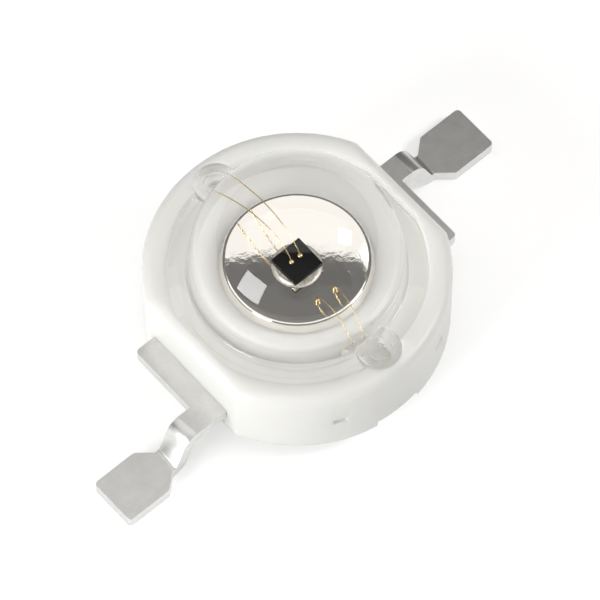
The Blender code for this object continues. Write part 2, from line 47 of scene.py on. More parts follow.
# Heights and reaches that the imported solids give
SLUG_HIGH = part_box("slug")[1]
HOUSING_LOW, HOUSING_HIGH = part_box("housing")
LENS_LOW, LENS_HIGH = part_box("lens")
LEAD_LOW, LEAD_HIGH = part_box("lead_anode")
DIE_LOW, DIE_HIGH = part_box("die")
BED_LOW, BED_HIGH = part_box("die_attach")

BODY_RADIUS = HOUSING_HIGH[1]
BODY_FLAT = HOUSING_HIGH[0]
BODY_BOTTOM, BODY_TOP = HOUSING_LOW[2], HOUSING_HIGH[2]
DOME_TOP = LENS_HIGH[2]
FLANGE_FLAT = LENS_HIGH[0]
FLANGE_BOTTOM = LENS_LOW[2]
SLUG_TOP = SLUG_HIGH[2]
SLUG_BASE_RADIUS = SLUG_HIGH[0]
PADDLE_REACH = LEAD_HIGH[0]
POST_TOP = LEAD_HIGH[2]
BAR_HALF_WIDTH = -LEAD_LOW[1]
ARM_OUTER_RADIUS = LEAD_HIGH[1]

# Housing
SEAT_GAP = 0.02 * MM                # between pieces that touch or are moulded round each other
BODY_SHOULDER = 0.28 * MM
BODY_FOOT_EDGE = 0.05 * MM
BODY_WALL = 0.60 * MM
WELL_RADIUS = 2.75 * MM
WELL_MOUTH = 2.81 * MM
WELL_FLOOR = 1.95 * MM
COLLAR_RADIUS = 1.70 * MM
COLLAR_TOP = 2.76 * MM
COLLAR_EDGE = 0.08 * MM
GUTTER_FLOOR = 2.00 * MM
GUTTER_ROOT = 0.25 * MM             # how far a gutter's cutter reaches back into the well
NOTCH_WIDTH = 1.38 * MM
NOTCH_HEIGHT = 0.26 * MM
NOTCH_DEPTH = 0.45 * MM
WINDOW_WIDTH = 0.34 * MM
WINDOW_HEIGHT = 0.22 * MM
WINDOW_DEPTH = 0.42 * MM
WINDOW_X = 1.69 * MM
WINDOW_Z = 1.70 * MM

# Slug
SLUG_BASE_TOP = 0.90 * MM
SLUG_FOOT_EDGE = 0.10 * MM
SLUG_TOP_RADIUS = 1.25 * MM
SLUG_RIM = 0.06 * MM

# Leads
LEAD_THICKNESS = 0.36 * MM
BAR_TOP = 1.42 * MM
NECK_OUTER = 1.38 * MM
NECK_WIDTH = 0.70 * MM
BAR_PROUD = 0.64 * MM
BAR_TO_KNEE = 0.54 * MM
KNEE_RUN = 0.42 * MM
KNEE_RADIUS = 0.30 * MM
SHOULDER_RUN = 0.42 * MM
PADDLE_LENGTH = 1.33 * MM
PADDLE_WIDTH = 1.42 * MM
PADDLE_TOP = 0.40 * MM
CORNER_RADIUS = 0.12 * MM
ARM_WIDTH = 0.58 * MM
ARM_END_DEG = 98.0
BAR_ROOT_DEG = -30.0                # where the arm's inner edge turns into the bar
POST_WIDTH = 0.56 * MM
POST_DEPTH = 0.36 * MM
POST_SHIFT = 0.15 * MM

# Die bed
BED_FOOT_RADIUS = 0.42 * MM
BED_TOP_RADIUS = 0.365 * MM

# Lens and gel
DOME_RADIUS = 2.80 * MM
FLANGE_STEP_RADIUS = 3.16 * MM
FLANGE_EDGE_TOP = 2.72 * MM
FLANGE_TOP = 2.80 * MM
FLANGE_FILLET = 0.12 * MM
BOSS_RADIUS = 0.585 * MM
BOSS_TOP = 2.98 * MM
BOSS_Y = 3.16 * MM
FILL_HOLE_RADIUS = 0.33 * MM
GEL_IN_HOLE = 2.88 * MM             # where the gel stands in a fill hole
GEL_SUNK = 0.10 * MM                # how far the clear body runs into the moulding round it
GEL_PLUG_SUNK = 0.04 * MM

# Bond wires: thinner than in the solids, as they look in the photograph
WIRE_RADIUS = 0.0095 * MM
BALL_RADIUS = 0.048 * MM
BALL_FLATNESS = 0.8                 # height of a ball bond to its width
DIE_BOND_SPACING = 0.19 * MM
DIE_BOND_Y = 0.03 * MM
DIE_LOOP_RISE = 0.34 * MM
SLUG_BOND_SPACING = 0.385 * MM
SLUG_BOND_Y = -0.77 * MM
SLUG_LOOP_RISE = 0.24 * MM
DIE_STITCH_SPACING = 0.36 * MM
SLUG_STITCH_SPACING = 0.28 * MM
SLUG_STITCH_SHIFT = -0.08 * MM
LOOP_SPREAD = 0.9                   # how evenly a loop runs out towards its post
LOOP_PEAK = 0.55                    # below 1, the loop is highest nearer to its ball
LOOP_DROP = 3.2                     # above 1, it comes down late and steeply

# How far each piece's edges are softened
BODY_SOFTNESS = 0.035 * MM
LEAD_SOFTNESS = 0.045 * MM
LENS_SOFTNESS = 0.030 * MM
DIE_SOFTNESS = 0.012 * MM
SOFTEN_ABOVE_DEG = 32               # edges flatter than this stay as they are
SHARP_ABOVE_DEG = 38                # edges steeper than this show as a line

# Sizes that follow from those above
SEAT_FLOOR = FLANGE_BOTTOM - SEAT_GAP
FLANGE_RADIUS = BODY_RADIUS - BODY_WALL - SEAT_GAP
POST_Y = ARM_OUTER_RADIUS - ARM_WIDTH / 2
ARM_INNER_RADIUS = ARM_OUTER_RADIUS - ARM_WIDTH
BAR_REACH = BODY_FLAT + BAR_PROUD
KNEE_START = BAR_REACH + BAR_TO_KNEE
KNEE_END = KNEE_START + KNEE_RUN
PADDLE_START = PADDLE_REACH - PADDLE_LENGTH
SHOULDER_START = PADDLE_START - SHOULDER_RUN

# Camera: the photograph's direction, and where the slug's centre falls in it
VIEW_AZIMUTH = -41.2
VIEW_ELEVATION = 62.5
CAMERA_DISTANCE = 150 * MM
PIXELS_PER_MM = 38.4
IMAGE_PIXELS = 600
ORIGIN_PIXEL = (297.0, 318.0)
SENSOR_WIDTH = 36.0
CLIP_START = 5 * MM

# Lamps: the ceiling's far edge sets where the disc's bright half ends
CEILING_HEIGHT = 55 * MM
CEILING_WIDTH = 130 * MM
CEILING_FAR, CEILING_NEAR = 25 * MM, -20 * MM
ROOM_STRENGTH = 0.17
PAPER_LIFT = 0.42                   # brings the paper up to white where it is looked at

# Faces round a full turn and along a curve, and the distance at which points are one
ROUND_STEPS = 192
BED_STEPS = 96
POST_STEPS = 48
WIRE_STEPS = 40
MERGE_DISTANCE = 1e-7


def linear(hex_colour):
    """An sRGB hex value as linear RGBA."""
    channels = [int(hex_colour[i:i + 2], 16) / 255 for i in (1, 3, 5)]
    return (*[c / 12.92 if c <= 0.04045 else ((c + 0.055) / 1.055) ** 2.4 for c in channels], 1.0)


def add(tree, kind, inputs=None, **settings):
    """Add one node: its settings, and for each input a value or the socket that feeds it."""
    node = tree.nodes.new(kind)
    for name, value in settings.items():
        setattr(node, name, value)
    for key, value in (inputs or {}).items():
        if isinstance(value, bpy.types.NodeSocket):
            tree.links.new(value, node.inputs[key])
        else:
            node.inputs[key].default_value = value
    return node


def blank_material(name):
    """A new material with an empty node tree."""
    material = bpy.data.materials.new(name)
    material.use_nodes = True
    material.node_tree.nodes.clear()
    return material, material.node_tree


def per_mm(count):
    """A texture scale that puts this many features in a millimetre."""
    return count / MM


def white_moulding():
    """PPA, injection moulded: dense white, a little light soaks in and softens the edges."""
    material, tree = blank_material("white_ppa_moulded")
    place = add(tree, "ShaderNodeTexCoord").outputs["Object"]
    # Flow clouds of about 1.7 mm, and the mould's spark-eroded grain of 0.1 mm
    cloud = add(tree, "ShaderNodeTexNoise", {"Vector": place, "Scale": per_mm(0.6), "Detail": 3.0})
    tone = add(tree, "ShaderNodeMix", {"Factor": cloud.outputs["Fac"], "A": linear("#EEEEEA"),
                                       "B": linear("#F5F5F2")}, data_type="RGBA")
    peel = add(tree, "ShaderNodeTexNoise", {"Vector": place, "Scale": per_mm(9.0), "Detail": 4.0})
    rough = add(tree, "ShaderNodeMapRange", {"Value": peel.outputs["Fac"], "To Min": 0.30,
                                             "To Max": 0.46})
    bump = add(tree, "ShaderNodeBump", {"Height": peel.outputs["Fac"], "Strength": 0.25,
                                        "Distance": 0.006 * MM})
    shader = add(tree, "ShaderNodeBsdfPrincipled", {
        "Base Color": tone.outputs["Result"], "Roughness": rough.outputs["Result"],
        "Normal": bump.outputs["Normal"], "IOR": 1.53, "Subsurface Weight": 0.8,
        "Subsurface Radius": (1.0, 0.97, 0.93), "Subsurface Scale": 0.5 * MM})
    add(tree, "ShaderNodeOutputMaterial", {"Surface": shader.outputs["BSDF"]})
    return material


def silver_plate():
    """Bright silver plate on copper: a mirror with a fine waviness that frays its reflections."""
    material, tree = blank_material("bright_silver_plate")
    place = add(tree, "ShaderNodeTexCoord").outputs["Object"]
    # Waves of 0.08 mm, left by the coined copper under the plate
    wave = add(tree, "ShaderNodeTexNoise", {"Vector": place, "Scale": per_mm(13.0), "Detail": 2.5,
                                            "Roughness": 0.6})
    rough = add(tree, "ShaderNodeMapRange", {"Value": wave.outputs["Fac"], "From Min": 0.3,
                                             "From Max": 0.7, "To Min": 0.02, "To Max": 0.08})
    bump = add(tree, "ShaderNodeBump", {"Height": wave.outputs["Fac"], "Strength": 0.5,
                                        "Distance": 0.0022 * MM})
    shader = add(tree, "ShaderNodeBsdfPrincipled", {
        "Base Color": linear("#F6F3EE"), "Metallic": 1.0, "Roughness": rough.outputs["Result"],
        "Normal": bump.outputs["Normal"]})
    add(tree, "ShaderNodeOutputMaterial", {"Surface": shader.outputs["BSDF"]})
    return material


def tin_plate():
    """Matt tin plate on stamped copper: satin grey with a fine crystalline mottle."""
    material, tree = blank_material("matt_tin_plate")
    place = add(tree, "ShaderNodeTexCoord").outputs["Object"]
    # Tin crystals are about 0.005 mm: they are drawn at 0.06 mm, so that they show
    grain = add(tree, "ShaderNodeTexNoise", {"Vector": place, "Scale": per_mm(16.0), "Detail": 4.0,
                                             "Roughness": 0.7})
    patch = add(tree, "ShaderNodeTexNoise", {"Vector": place, "Scale": per_mm(3.0), "Detail": 3.0})
    blend = add(tree, "ShaderNodeMath", {0: grain.outputs["Fac"], 1: patch.outputs["Fac"]},
                operation="MULTIPLY")
    spread = add(tree, "ShaderNodeMapRange", {"Value": blend.outputs["Value"], "From Min": 0.12,
                                              "From Max": 0.42})
    tone = add(tree, "ShaderNodeMix", {"Factor": spread.outputs["Result"], "A": linear("#D6D6D5"),
                                       "B": linear("#E2E2E0")}, data_type="RGBA")
    rough = add(tree, "ShaderNodeMapRange", {"Value": grain.outputs["Fac"], "From Min": 0.3,
                                             "From Max": 0.7, "To Min": 0.31, "To Max": 0.39})
    bump = add(tree, "ShaderNodeBump", {"Height": grain.outputs["Fac"], "Strength": 0.5,
                                        "Distance": 0.0025 * MM})
    shader = add(tree, "ShaderNodeBsdfPrincipled", {
        "Base Color": tone.outputs["Result"], "Metallic": 1.0,
        "Roughness": rough.outputs["Result"], "Normal": bump.outputs["Normal"]})
    add(tree, "ShaderNodeOutputMaterial", {"Surface": shader.outputs["BSDF"]})
    return material


def bond_plate():
    """Matt silver spot plate on the bonding posts: pale, so that the wires' ends stand out."""
    material, tree = blank_material("matt_silver_plate")
    place = add(tree, "ShaderNodeTexCoord").outputs["Object"]
    # Its grain of about 0.01 mm is drawn at 0.05 mm, so that it shows
    grain = add(tree, "ShaderNodeTexNoise", {"Vector": place, "Scale": per_mm(20.0)})
    rough = add(tree, "ShaderNodeMapRange", {"Value": grain.outputs["Fac"], "To Min": 0.50,
                                             "To Max": 0.66})
    shader = add(tree, "ShaderNodeBsdfPrincipled", {
        "Base Color": linear("#F4F2EE"), "Metallic": 1.0, "Roughness": rough.outputs["Result"]})
    add(tree, "ShaderNodeOutputMaterial", {"Surface": shader.outputs["BSDF"]})
    return material


def gold_wire():
    """Drawn gold, bonded: bright and warm, with a slight draw mark along it."""
    material, tree = blank_material("drawn_gold")
    place = add(tree, "ShaderNodeTexCoord").outputs["Object"]
    # Draw marks of about 0.002 mm are drawn at 0.04 mm, so that they break the glint
    mark = add(tree, "ShaderNodeTexNoise", {"Vector": place, "Scale": per_mm(25.0)})
    rough = add(tree, "ShaderNodeMapRange", {"Value": mark.outputs["Fac"], "To Min": 0.14,
                                             "To Max": 0.30})
    shader = add(tree, "ShaderNodeBsdfPrincipled", {
        "Base Color": linear("#E9D09A"), "Metallic": 1.0, "Roughness": rough.outputs["Result"]})
    add(tree, "ShaderNodeOutputMaterial", {"Surface": shader.outputs["BSDF"]})
    return material


def die_surface():
    """Semiconductor, polished and passivated: near black with a glassy film."""
    material, tree = blank_material("dark_semiconductor")
    place = add(tree, "ShaderNodeTexCoord").outputs["Object"]
    # The film's thickness drifts over about 0.3 mm
    film = add(tree, "ShaderNodeTexNoise", {"Vector": place, "Scale": per_mm(3.0)})
    tone = add(tree, "ShaderNodeMix", {"Factor": film.outputs["Fac"], "A": linear("#0C0C0D"),
                                       "B": linear("#171617")}, data_type="RGBA")
    shader = add(tree, "ShaderNodeBsdfPrincipled", {
        "Base Color": tone.outputs["Result"], "Roughness": 0.3, "IOR": 1.2})
    add(tree, "ShaderNodeOutputMaterial", {"Surface": shader.outputs["BSDF"]})
    return material


def silver_epoxy():
    """Silver-filled epoxy, dispensed: pale grey with a fine metal sparkle."""
    material, tree = blank_material("silver_filled_epoxy")
    place = add(tree, "ShaderNodeTexCoord").outputs["Object"]
    # Silver flakes are about 0.01 mm: they are drawn at 0.05 mm, so that they show
    flake = add(tree, "ShaderNodeTexVoronoi", {"Vector": place, "Scale": per_mm(22.0)})
    tone = add(tree, "ShaderNodeMix", {"Factor": flake.outputs["Distance"],
                                       "A": linear("#EFEBE2"), "B": linear("#BDB8AE")},
               data_type="RGBA")
    bump = add(tree, "ShaderNodeBump", {"Height": flake.outputs["Distance"], "Strength": 0.5,
                                        "Distance": 0.006 * MM})
    shader = add(tree, "ShaderNodeBsdfPrincipled", {
        "Base Color": tone.outputs["Result"], "Metallic": 0.6, "Roughness": 0.42,
        "Normal": bump.outputs["Normal"]})
    add(tree, "ShaderNodeOutputMaterial", {"Surface": shader.outputs["BSDF"]})
    return material


def clear_optic():
    """Polycarbonate, moulded, over clear gel: water-clear and glossy, and it casts no shadow."""
    material, tree = blank_material("clear_polycarbonate")
    glass = add(tree, "ShaderNodeBsdfPrincipled", {
        "Base Color": linear("#FFFFFF"), "Roughness": 0.0, "IOR": 1.5,
        "Transmission Weight": 1.0})
    path = add(tree, "ShaderNodeLightPath")
    open_ray = add(tree, "ShaderNodeMath", {0: path.outputs["Is Shadow Ray"],
                                            1: path.outputs["Is Diffuse Ray"]},
                   operation="MAXIMUM")
    through = add(tree, "ShaderNodeBsdfTransparent", {"Color": linear("#FFFFFF")})
    shader = add(tree, "ShaderNodeMixShader", {0: open_ray.outputs["Value"],
                                               1: glass.outputs["BSDF"],
                                               2: through.outputs["BSDF"]})
    add(tree, "ShaderNodeOutputMaterial", {"Surface": shader.outputs["Shader"]})
    return material


def pale_paper():
    """Matt white paper: white where it is looked at, while the lamp still shades it."""
    material, tree = blank_material("pale_paper")
    path = add(tree, "ShaderNodeLightPath")
    seen = add(tree, "ShaderNodeMath", {0: path.outputs["Is Camera Ray"],
                                        1: path.outputs["Is Glossy Ray"]}, operation="MAXIMUM")
    seen = add(tree, "ShaderNodeMath", {0: seen.outputs["Value"],
                                        1: path.outputs["Is Transmission Ray"]},
               operation="MAXIMUM")
    lift = add(tree, "ShaderNodeMath", {0: seen.outputs["Value"], 1: PAPER_LIFT},
               operation="MULTIPLY")
    paper = add(tree, "ShaderNodeBsdfDiffuse", {"Color": linear("#ECECEC")})
    glow = add(tree, "ShaderNodeEmission", {"Strength": lift.outputs["Value"]})
    both = add(tree, "ShaderNodeAddShader", {0: paper.outputs["BSDF"],
                                             1: glow.outputs["Emission"]})
    add(tree, "ShaderNodeOutputMaterial", {"Surface": both.outputs["Shader"]})
    return material


def link(name, data):
    """Put a mesh, a curve, a light or a camera into the scene."""
    obj = bpy.data.objects.new(name, data)
    bpy.context.scene.collection.objects.link(obj)
    return obj


def mesh_object(name, bm):
    """An object made of what bm holds."""
    bmesh.ops.recalc_face_normals(bm, faces=bm.faces)
    mesh = bpy.data.meshes.new(name)
    bm.to_mesh(mesh)
    bm.free()
    return link(name, mesh)


def box(name, size, centre):
    """A block of this size round its centre."""
    bm = bmesh.new()
    bmesh.ops.create_cube(bm, size=1.0, matrix=Matrix.Translation(centre)
                          @ Matrix.Diagonal((*size, 1.0)))
    return mesh_object(name, bm)


def cylinder(name, radius, z_low, z_high, y=0.0, steps=POST_STEPS):
    """An upright cylinder that stands on the Y axis."""
    bm = bmesh.new()
    bmesh.ops.create_cone(bm, cap_ends=True, segments=steps, radius1=radius, radius2=radius,
                          depth=z_high - z_low,
                          matrix=Matrix.Translation((0, y, (z_low + z_high) / 2)))
    return mesh_object(name, bm)


def turned(name, profile, steps=ROUND_STEPS, closed=False):
    """Spin a profile of (radius, height) points, given down its outer side, about Z."""
    mesh = bpy.data.meshes.new(name)
    count = len(profile)
    edges = [(i, (i + 1) % count) for i in range(count if closed else count - 1)]
    mesh.from_pydata([(r, 0.0, z) for r, z in profile], edges, [])
    obj = link(name, mesh)
    screw = obj.modifiers.new("turn", "SCREW")
    screw.steps = screw.render_steps = steps
    screw.use_merge_vertices = True
    screw.merge_threshold = MERGE_DISTANCE
    return settle(obj)


def prism(name, outline, half_depth):
    """A flat outline as a filled 2D curve, thickened to both sides."""
    curve = bpy.data.curves.new(name, "CURVE")
    curve.dimensions = "2D"
    curve.fill_mode = "BOTH"
    curve.extrude = half_depth
    spline = curve.splines.new("POLY")
    spline.points.add(len(outline) - 1)
    for point, (u, v) in zip(spline.points, outline):
        point.co = (u, v, 0.0, 1.0)
    spline.use_cyclic_u = True
    return settle(link(name, curve))


def settle(obj):
    """Turn a curve or an object with modifiers into one plain mesh, and drop what shaped it."""
    bpy.context.view_layer.update()
    evaluated = obj.evaluated_get(bpy.context.evaluated_depsgraph_get())
    mesh = bpy.data.meshes.new_from_object(evaluated)
    bm = bmesh.new()
    bm.from_mesh(mesh)
    bmesh.ops.remove_doubles(bm, verts=bm.verts, dist=MERGE_DISTANCE)
    bmesh.ops.recalc_face_normals(bm, faces=bm.faces)
    bm.to_mesh(mesh)
    bm.free()
    name = obj.name
    matrix = obj.matrix_world.copy()
    bpy.data.objects.remove(obj, do_unlink=True)
    plain = link(name, mesh)
    plain.matrix_world = matrix
    return plain


def combine(obj, other, operation):
    """A Boolean that is applied at once, so that its cutter can go."""
    modifier = obj.modifiers.new("cut", "BOOLEAN")
    modifier.operation = operation
    modifier.object = other
    result = settle(obj)
    bpy.data.objects.remove(other, do_unlink=True)
    return result


def soften(obj, width, segments=2):
    """Break the sharp edges, as a mould or a die does."""
    bevel = obj.modifiers.new("soften", "BEVEL")
    bevel.width = width
    bevel.segments = segments
    bevel.limit_method = "ANGLE"
    bevel.angle_limit = math.radians(SOFTEN_ABOVE_DEG)
    bevel.harden_normals = False
    bevel.use_clamp_overlap = True
    return settle(obj)


def arc(centre, radius, start_deg, end_deg, steps):
    """Points along an arc, its two ends included."""
    points = []
    for i in range(steps + 1):
        angle = math.radians(start_deg + (end_deg - start_deg) * i / steps)
        points.append((centre[0] + radius * math.cos(angle), centre[1] + radius * math.sin(angle)))
    return points


def rounded(points, radius, steps=6):
    """Round each corner of an open path by an arc; its two ends stay."""
    path = [Vector(points[0])]
    for before, corner, after in zip(points, points[1:], points[2:]):
        corner = Vector(corner)
        back = (Vector(before) - corner).normalized()
        ahead = (Vector(after) - corner).normalized()
        half = back.angle(ahead) / 2
        reach = radius / math.tan(half)
        centre = corner + (back + ahead).normalized() * (radius / math.sin(half))
        first = corner + back * reach - centre
        last = corner + ahead * reach - centre
        for i in range(steps + 1):
            path.append(centre + first.lerp(last, i / steps).normalized() * radius)
    path.append(Vector(points[-1]))
    return path


def dress(obj, material, slot, *nodes):
    """Give a piece its finish and smooth shading, hang it from the root, and hide the solids that
    it stands for.
    """
    obj.data.materials.clear()
    obj.data.materials.append(material)
    obj.data.shade_smooth()
    obj.data.set_sharp_from_angle(angle=math.radians(SHARP_ABOVE_DEG))
    even = obj.modifiers.new("even_shading", "WEIGHTED_NORMAL")
    even.keep_sharp = True
    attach(obj, "root")
    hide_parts(*nodes)
    return obj


def flatted_disc(name, radius, flat, z_low, z_high):
    """A disc with two flats across X."""
    disc = cylinder(name, radius, z_low, z_high, steps=ROUND_STEPS)
    sides = box("sides", (2 * flat, 4 * radius, 3 * (z_high - z_low)),
                (0, 0, (z_low + z_high) / 2))
    return combine(disc, sides, "INTERSECT")


def housing_piece(material):
    """The moulding: turned, flatted, then cut for the lens, the gutters and the windows."""
    shoulder = arc((BODY_RADIUS - BODY_SHOULDER, BODY_TOP - BODY_SHOULDER), BODY_SHOULDER, 90, 0,
                   10)
    # The collar runs into the slug a little, so that no dark line shows between them
    collar_bore = SLUG_TOP_RADIUS - SEAT_GAP
    base_bore = SLUG_BASE_RADIUS + SEAT_GAP
    base_ceiling = SLUG_BASE_TOP + SEAT_GAP
    profile = shoulder + [(BODY_RADIUS, BODY_BOTTOM + BODY_FOOT_EDGE),
                          (BODY_RADIUS - BODY_FOOT_EDGE, BODY_BOTTOM), (base_bore, BODY_BOTTOM),
                          (base_bore, base_ceiling), (collar_bore, base_ceiling),
                          (collar_bore, COLLAR_TOP), (COLLAR_RADIUS - COLLAR_EDGE, COLLAR_TOP),
                          (COLLAR_RADIUS, COLLAR_TOP - COLLAR_EDGE), (COLLAR_RADIUS, WELL_FLOOR),
                          (WELL_RADIUS, WELL_FLOOR), (WELL_MOUTH, SEAT_FLOOR),
                          (WELL_MOUTH, BODY_TOP)]
    housing = turned("housing_shell", profile, closed=True)
    block = box("flats", (2 * BODY_FLAT, 3 * BODY_RADIUS, 4 * BODY_TOP), (0, 0, -BODY_TOP))
    block = soften(block, BODY_SHOULDER, segments=8)
    housing = combine(housing, block, "INTERSECT")
    recess = flatted_disc("recess", FLANGE_RADIUS + SEAT_GAP, FLANGE_FLAT + SEAT_GAP, SEAT_FLOOR,
                          BODY_TOP + MM)
    over_well = cylinder("over_well", (COLLAR_RADIUS + WELL_RADIUS) / 2, BODY_BOTTOM,
                         BODY_TOP + 2 * MM, steps=ROUND_STEPS)
    recess = combine(recess, over_well, "DIFFERENCE")      # a ring, so that the collar stays
    for side in (1, -1):
        pocket = cylinder("pocket", BOSS_RADIUS + SEAT_GAP, SEAT_FLOOR, BODY_TOP + MM,
                          y=side * BOSS_Y)
        recess = combine(recess, pocket, "UNION")
    housing = combine(housing, recess, "DIFFERENCE")
    wall_y = math.sqrt(BODY_RADIUS ** 2 - WINDOW_X ** 2)
    for side in (1, -1):
        housing = combine(housing, gutter_solid(side), "DIFFERENCE")
        notch = box("notch", (NOTCH_WIDTH, 2 * NOTCH_DEPTH, 2 * NOTCH_HEIGHT),
                    (0, side * BODY_RADIUS, BODY_BOTTOM))
        housing = combine(housing, notch, "DIFFERENCE")
        for across in (1, -1):
            window = box("window", (WINDOW_WIDTH, 2 * WINDOW_DEPTH, WINDOW_HEIGHT),
                         (across * WINDOW_X, side * wall_y, WINDOW_Z))
            housing = combine(housing, window, "DIFFERENCE")
    housing = soften(housing, BODY_SOFTNESS)
    return dress(housing, material, "white_moulding", "housing")


def gutter_solid(side):
    """The gutter below a fill hole: a run out from the well with a half-round end."""
    inner = WELL_RADIUS - GUTTER_ROOT
    outline = [(-FILL_HOLE_RADIUS, inner), (FILL_HOLE_RADIUS, inner)]
    outline += arc((0, BOSS_Y), FILL_HOLE_RADIUS, 0, 180, 24)
    top = SEAT_FLOOR + SEAT_GAP
    gutter = prism("gutter", outline, (top - GUTTER_FLOOR) / 2)
    gutter.matrix_world = (Matrix.Translation((0, 0, (top + GUTTER_FLOOR) / 2))
                           @ Matrix.Rotation(0 if side > 0 else math.pi, 4, "Z"))
    return gutter


def slug_piece(material):
    """The heat spreader: a wide base and the round pedestal whose disc carries the die."""
    rim = arc((SLUG_TOP_RADIUS - SLUG_RIM, SLUG_TOP - SLUG_RIM), SLUG_RIM, 90, 0, 5)
    profile = [(0.0, SLUG_TOP)] + rim + [
        (SLUG_TOP_RADIUS, SLUG_BASE_TOP), (SLUG_BASE_RADIUS, SLUG_BASE_TOP),
        (SLUG_BASE_RADIUS, SLUG_FOOT_EDGE), (SLUG_BASE_RADIUS - SLUG_FOOT_EDGE, 0.0), (0.0, 0.0)]
    return dress(turned("slug_spreader", profile), material, "silver_plate", "slug")


def lead_plan():
    """Outline of the lead that leaves at +X, seen from above: paddle, neck, bar and arm."""
    neck_low = NECK_OUTER - NECK_WIDTH
    middle = NECK_OUTER - NECK_WIDTH / 2
    paddle_high, paddle_low = middle + PADDLE_WIDTH / 2, middle - PADDLE_WIDTH / 2
    corners = [(BAR_REACH, neck_low), (SHOULDER_START, neck_low), (PADDLE_START, paddle_low),
               (PADDLE_REACH, paddle_low), (PADDLE_REACH, paddle_high),
               (PADDLE_START, paddle_high), (SHOULDER_START, NECK_OUTER), (BAR_REACH, NECK_OUTER)]
    outline = rounded(corners, CORNER_RADIUS)
    outer_start = math.degrees(math.asin(NECK_OUTER / ARM_OUTER_RADIUS))
    outline += arc((0, 0), ARM_OUTER_RADIUS, outer_start, ARM_END_DEG, 24)
    outline += arc((0, 0), ARM_INNER_RADIUS, ARM_END_DEG, BAR_ROOT_DEG, 36)
    outline.append((outline[-1][0], -BAR_HALF_WIDTH))
    outline += arc((BAR_REACH - CORNER_RADIUS, -BAR_HALF_WIDTH + CORNER_RADIUS), CORNER_RADIUS,
                   -90, 0, 6)
    return outline


def lead_side():
    """Outline of the formed strip seen from the side, as (x, z) points."""
    half = LEAD_THICKNESS / 2
    bar_middle, paddle_middle = BAR_TOP - half, PADDLE_TOP - half
    path = rounded([(-ARM_OUTER_RADIUS, bar_middle), (KNEE_START, bar_middle),
                    (KNEE_END, paddle_middle), (PADDLE_REACH + MM, paddle_middle)],
                   KNEE_RADIUS, 12)
    upper, lower = [], []
    for i, point in enumerate(path):
        ahead = path[min(i + 1, len(path) - 1)] - path[max(i - 1, 0)]
        normal = Vector((-ahead.y, ahead.x)).normalized()
        upper.append(tuple(point + normal * half))
        lower.append(tuple(point - normal * half))
    return upper + lower[::-1]


def lead_pieces(material, inner_material):
    """Both leads; the posts inside carry the brighter spot plate that wires are bonded to."""
    for name, node, turn in (("lead_formed_anode", "lead_anode", 0.0),
                             ("lead_formed_cathode", "lead_cathode", math.pi)):
        lead = prism(name, lead_plan(), BODY_TOP)
        side = prism("side", lead_side(), BODY_RADIUS)
        side.matrix_world = Matrix.Rotation(math.radians(90), 4, "X")
        lead = combine(lead, side, "INTERSECT")
        post_low = BAR_TOP - LEAD_THICKNESS / 2
        post = box("post", (POST_WIDTH, POST_DEPTH, POST_TOP - post_low),
                   (POST_SHIFT, POST_Y, (POST_TOP + post_low) / 2))
        lead = combine(lead, post, "UNION")
        lead = soften(lead, LEAD_SOFTNESS, segments=3)
        lead.data.transform(Matrix.Rotation(turn, 4, "Z"))
        dress(lead, material, "tinned_copper", node)
        lead.data.materials.append(inner_material)
        for face in lead.data.polygons:
            face.material_index = int(face.center.z > BAR_TOP + SEAT_GAP)


def die_pieces(die_material, bed_material):
    """The square die in its round bed; its plated underside shows in the polished disc."""
    side = DIE_HIGH[0] - DIE_LOW[0]
    die = box("die_chip", (side, side, DIE_HIGH[2] - DIE_LOW[2]),
              (0, 0, (DIE_HIGH[2] + DIE_LOW[2]) / 2))
    die = dress(soften(die, DIE_SOFTNESS), die_material, "die", "die")
    die.data.materials.append(bed_material)
    for face in die.data.polygons:
        face.material_index = int(face.normal.z < -0.3)
    height, spread = BED_HIGH[2] - BED_LOW[2], BED_FOOT_RADIUS - BED_TOP_RADIUS
    slope = arc((BED_FOOT_RADIUS, BED_HIGH[2]), spread, 180, 270, 6)
    profile = [(0.0, BED_HIGH[2])]
    profile += [(r, BED_HIGH[2] - (BED_HIGH[2] - z) * height / spread) for r, z in slope]
    profile.append((0.0, BED_LOW[2]))
    dress(turned("die_bed", profile, steps=BED_STEPS), bed_material, "solder", "die_attach")


def wire_route(ball, stitch, rise):
    """A bonded loop: up from the ball, over, and down steeply to the stitch."""
    start = ball + Vector((0, 0, BALL_RADIUS))
    end = stitch + Vector((0, 0, WIRE_RADIUS))
    points = []
    for i in range(WIRE_STEPS + 1):
        t = i / WIRE_STEPS
        point = start.lerp(end, t ** LOOP_SPREAD)
        point.z = start.z + (end.z - start.z) * t ** LOOP_DROP
        point.z += rise * math.sin(math.pi * t ** LOOP_PEAK)
        points.append(point)
    return points


